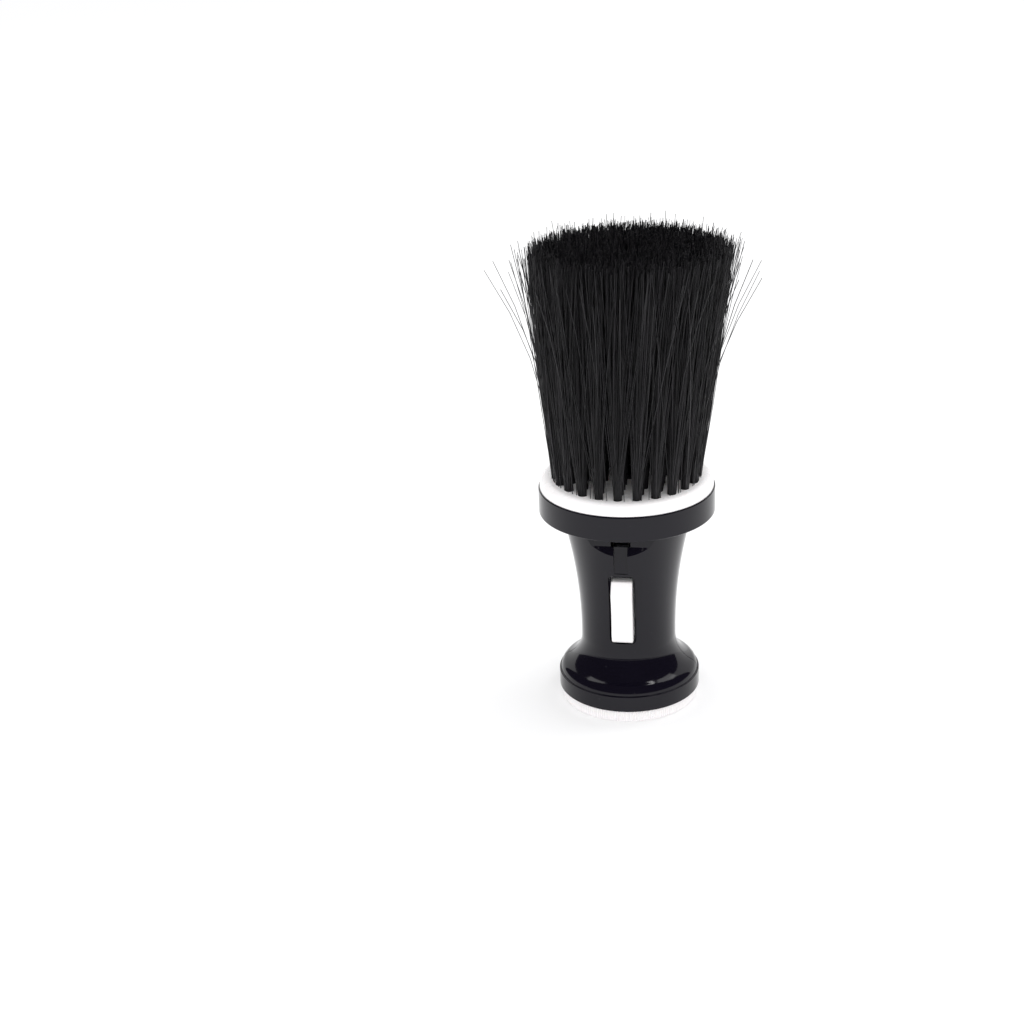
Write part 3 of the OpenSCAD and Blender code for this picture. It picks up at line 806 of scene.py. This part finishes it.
class DUSTER_OT_strays(bpy.types.Operator):
    """Add the single filaments that bend away all round the outer row, from its outer rim"""

    bl_idname = "duster.strays"
    bl_label = "Stray filaments"

    def execute(self, context):
        s = context.scene.duster_bristles
        rng = random.Random(s.seed + 1)
        face, cut = top("bristle_disc"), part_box("outer_tufts")[1].z
        root_r = s.outer_row + s.tuft_radius
        strands = []
        for i in range(s.strays):
            way = (i + rng.uniform(-0.4, 0.4)) * 2 * math.pi / s.strays
            turn = Matrix.Rotation(way, 3, "Z")
            far = (0.1 + 0.618 * i) % 1
            out = root_r + s.flare + far**1.3 * (s.stray_reach - s.flare - root_r - s.lean * math.cos(way))
            drop = (out - root_r) ** 2 / (cut - face)
            root = turn @ Vector((root_r, rng.uniform(-1, 1) * MM, face - ROOT_DEPTH))
            tip = turn @ Vector((root_r + s.flare, rng.gauss(0, 3) * MM, cut + rng.gauss(0, 2) * MM - drop))
            bow = turn @ Vector((-0.6 * MM, rng.gauss(0, 0.5) * MM, 0))
            flare = out - root_r - s.flare
            strands.append((strand(s, root, tip, bow, flare, 2.4), rng.random()))
        made = filaments("stray_bristles", strands, s.stray_thickness)
        piece(made, "handle", "black_nylon", "flyaway_bristles")
        return {"FINISHED"}


# ---------------------------------------------------------------- pieces kept from the frame


class DUSTER_OT_frame_pieces(bpy.types.Operator):
    """Give each piece kept from the frame the finish of its slot"""

    bl_idname = "duster.frame_pieces"
    bl_label = "Disc, cap, chamber and valve"

    def execute(self, context):
        for row in frame["nodes"].values():
            if row.hide_render:
                continue
            slot = row.material_slots[0].material.name.split(".")[0]
            if slot not in MAKERS:
                raise RuntimeError(f"{row.name} has the unknown slot {slot}")
            row.material_slots[0].material = finish_for(slot)
        return {"FINISHED"}


# ---------------------------------------------------------------- studio


def plain(name, colour_value, glow=0.0):
    """A matt colour, which may glow a little"""
    material = bpy.data.materials.new(name)
    material.use_nodes = True
    shader = material.node_tree.nodes["Principled BSDF"]
    shader.inputs["Base Color"].default_value = (*colour_value, 1)
    shader.inputs["Roughness"].default_value = 0.9
    shader.inputs["Emission Color"].default_value = (*colour_value, 1)
    shader.inputs["Emission Strength"].default_value = glow
    shader.inputs["Specular IOR Level"].default_value = 0
    return material


def softbox(name, azimuth, elevation, distance, size, brightness):
    """An area light that faces the middle of the object; its power is that of its brightness"""
    lamp = bpy.data.lights.new(name, "AREA")
    lamp.shape, lamp.size, lamp.size_y = "RECTANGLE", size[0], size[1]
    lamp.energy = 4 * size[0] * size[1] * brightness
    made = bpy.data.objects.new(name, lamp)
    a, e = math.radians(azimuth), math.radians(elevation)
    way = Vector((math.sin(a) * math.cos(e), -math.cos(a) * math.cos(e), math.sin(e)))
    made.location = way * distance + Vector((0, 0, 0.06))
    made.rotation_euler = way.to_track_quat("Z", "Y").to_euler()
    bpy.context.scene.collection.objects.link(made)
    return made


# Softboxes: name, degrees round and up, distance, width and height, brightness
SOFTBOXES = (
    ("softbox_left", -108, 60, 1.3, (0.25, 0.4), 1.8),
    ("softbox_right", 108, 73, 1.3, (0.22, 0.22), 7),
    ("softbox_right_low", 124, 56, 1.5, (0.45, 0.5), 1.8),
)
# The one softbox that reflections don't see
FRONT_FILL = ("front_fill", 8, 38, 1.5, (1.0, 1.0), 1.5)


class DUSTER_OT_studio(bpy.types.Operator):
    """Set up the white floor, the soft light, the dark side of the room and the camera"""

    bl_idname = "duster.studio"
    bl_label = "Studio"

    def execute(self, context):
        s = context.scene.duster_studio
        self.floor(s)
        self.room(s)
        for values in SOFTBOXES:
            softbox(*values)
        softbox(*FRONT_FILL).visible_glossy = False
        self.camera(s)
        context.scene.view_settings.view_transform = "Standard"
        return {"FINISHED"}

    def floor(self, s):
        bm = bmesh.new()
        bmesh.ops.create_circle(bm, cap_ends=True, segments=96, radius=s.floor_radius)
        floor = to_object("floor", bm)
        floor.data.materials.append(plain("white_floor", s.floor))

    def room(self, s):
        """The dark room in front, which only reflections see, and a white sky"""
        span, far = s.dark_span, s.dome_radius
        outline = arc((0, 0), far, 2, 88, 24)
        bm = bmesh.new()
        start = Matrix.Rotation(-span / 2 - math.pi / 2, 3, "Z")
        verts = [bm.verts.new(start @ Vector((r, 0, z))) for r, z in outline]
        edges = [bm.edges.new(pair) for pair in zip(verts, verts[1:])]
        bmesh.ops.spin(bm, geom=verts + edges, axis=UP, cent=ORIGIN, angle=span, steps=64)
        front = [Vector((x * far, -s.floor_front, 0.4 * MM)) for x in (-1, 1)]
        back = [Vector((x * far, -far, 0.4 * MM)) for x in (1, -1)]
        bm.faces.new([bm.verts.new(p) for p in front + back])
        dome = to_object("dark_room", bm)
        dome.data.materials.append(plain("dark_room", s.dark_colour, s.dark_glow))
        dome.visible_camera = False
        dome.visible_diffuse = False
        dome.visible_shadow = False
        world = bpy.data.worlds.new("white_room")
        world.use_nodes = True
        world.node_tree.nodes["Background"].inputs["Color"].default_value = (1, 1, 1, 1)
        world.node_tree.nodes["Background"].inputs["Strength"].default_value = s.sky
        bpy.context.scene.world = world

    def camera(self, s):
        lens = bpy.data.cameras.new("camera")
        lens.lens, lens.sensor_width = s.lens, 36
        camera = bpy.data.objects.new("camera", lens)
        bpy.context.scene.collection.objects.link(camera)
        spot = Matrix.Rotation(s.camera_round, 4, "Z") @ Vector((0, -s.camera_distance, s.camera_height))
        turn = (
            Matrix.Rotation(s.camera_round + s.camera_aside, 4, "Z")
            @ Matrix.Rotation(math.pi / 2 - s.camera_down, 4, "X")
            @ Matrix.Rotation(s.camera_roll, 4, "Z")
        )
        camera.matrix_world = Matrix.Translation(spot) @ turn
        lens.clip_start, lens.clip_end = 0.02, 50
        bpy.context.scene.camera = camera


# ---------------------------------------------------------------- panel and main


OPERATORS = (
    DUSTER_OT_handle,
    DUSTER_OT_collar,
    DUSTER_OT_slider,
    DUSTER_OT_bristles,
    DUSTER_OT_strays,
    DUSTER_OT_frame_pieces,
    DUSTER_OT_studio,
)
GROUPS = {
    "duster_handle": HandleSizes,
    "duster_head": HeadSizes,
    "duster_slider": SliderSizes,
    "duster_bristles": BristleSizes,
    "duster_finishes": Finishes,
    "duster_studio": StudioSizes,
}


class DUSTER_PT_panel(bpy.types.Panel):
    """Lists the steps that build the brush"""

    bl_idname = "DUSTER_PT_panel"
    bl_label = "Neck duster brush"
    bl_space_type = "VIEW_3D"
    bl_region_type = "UI"
    bl_category = "Duster"

    def draw(self, context):
        for operator in OPERATORS:
            self.layout.operator(operator.bl_idname)
        for name, group in GROUPS.items():
            box = self.layout.box()
            for prop in group.__annotations__:
                box.prop(getattr(context.scene, name), prop)


def register():
    for cls in (*GROUPS.values(), *OPERATORS, DUSTER_PT_panel):
        bpy.utils.register_class(cls)
    for name, group in GROUPS.items():
        setattr(bpy.types.Scene, name, bpy.props.PointerProperty(type=group))


def unregister():
    for name in GROUPS:
        delattr(bpy.types.Scene, name)
    for cls in (DUSTER_PT_panel, *OPERATORS, *GROUPS.values()):
        bpy.utils.unregister_class(cls)


def main():
    register()
    bpy.ops.duster.handle()
    bpy.ops.duster.collar()
    bpy.ops.duster.slider()
    bpy.ops.duster.bristles()
    bpy.ops.duster.strays()
    bpy.ops.duster.frame_pieces()
    bpy.ops.duster.studio()


if __name__ == "__main__":
    main()
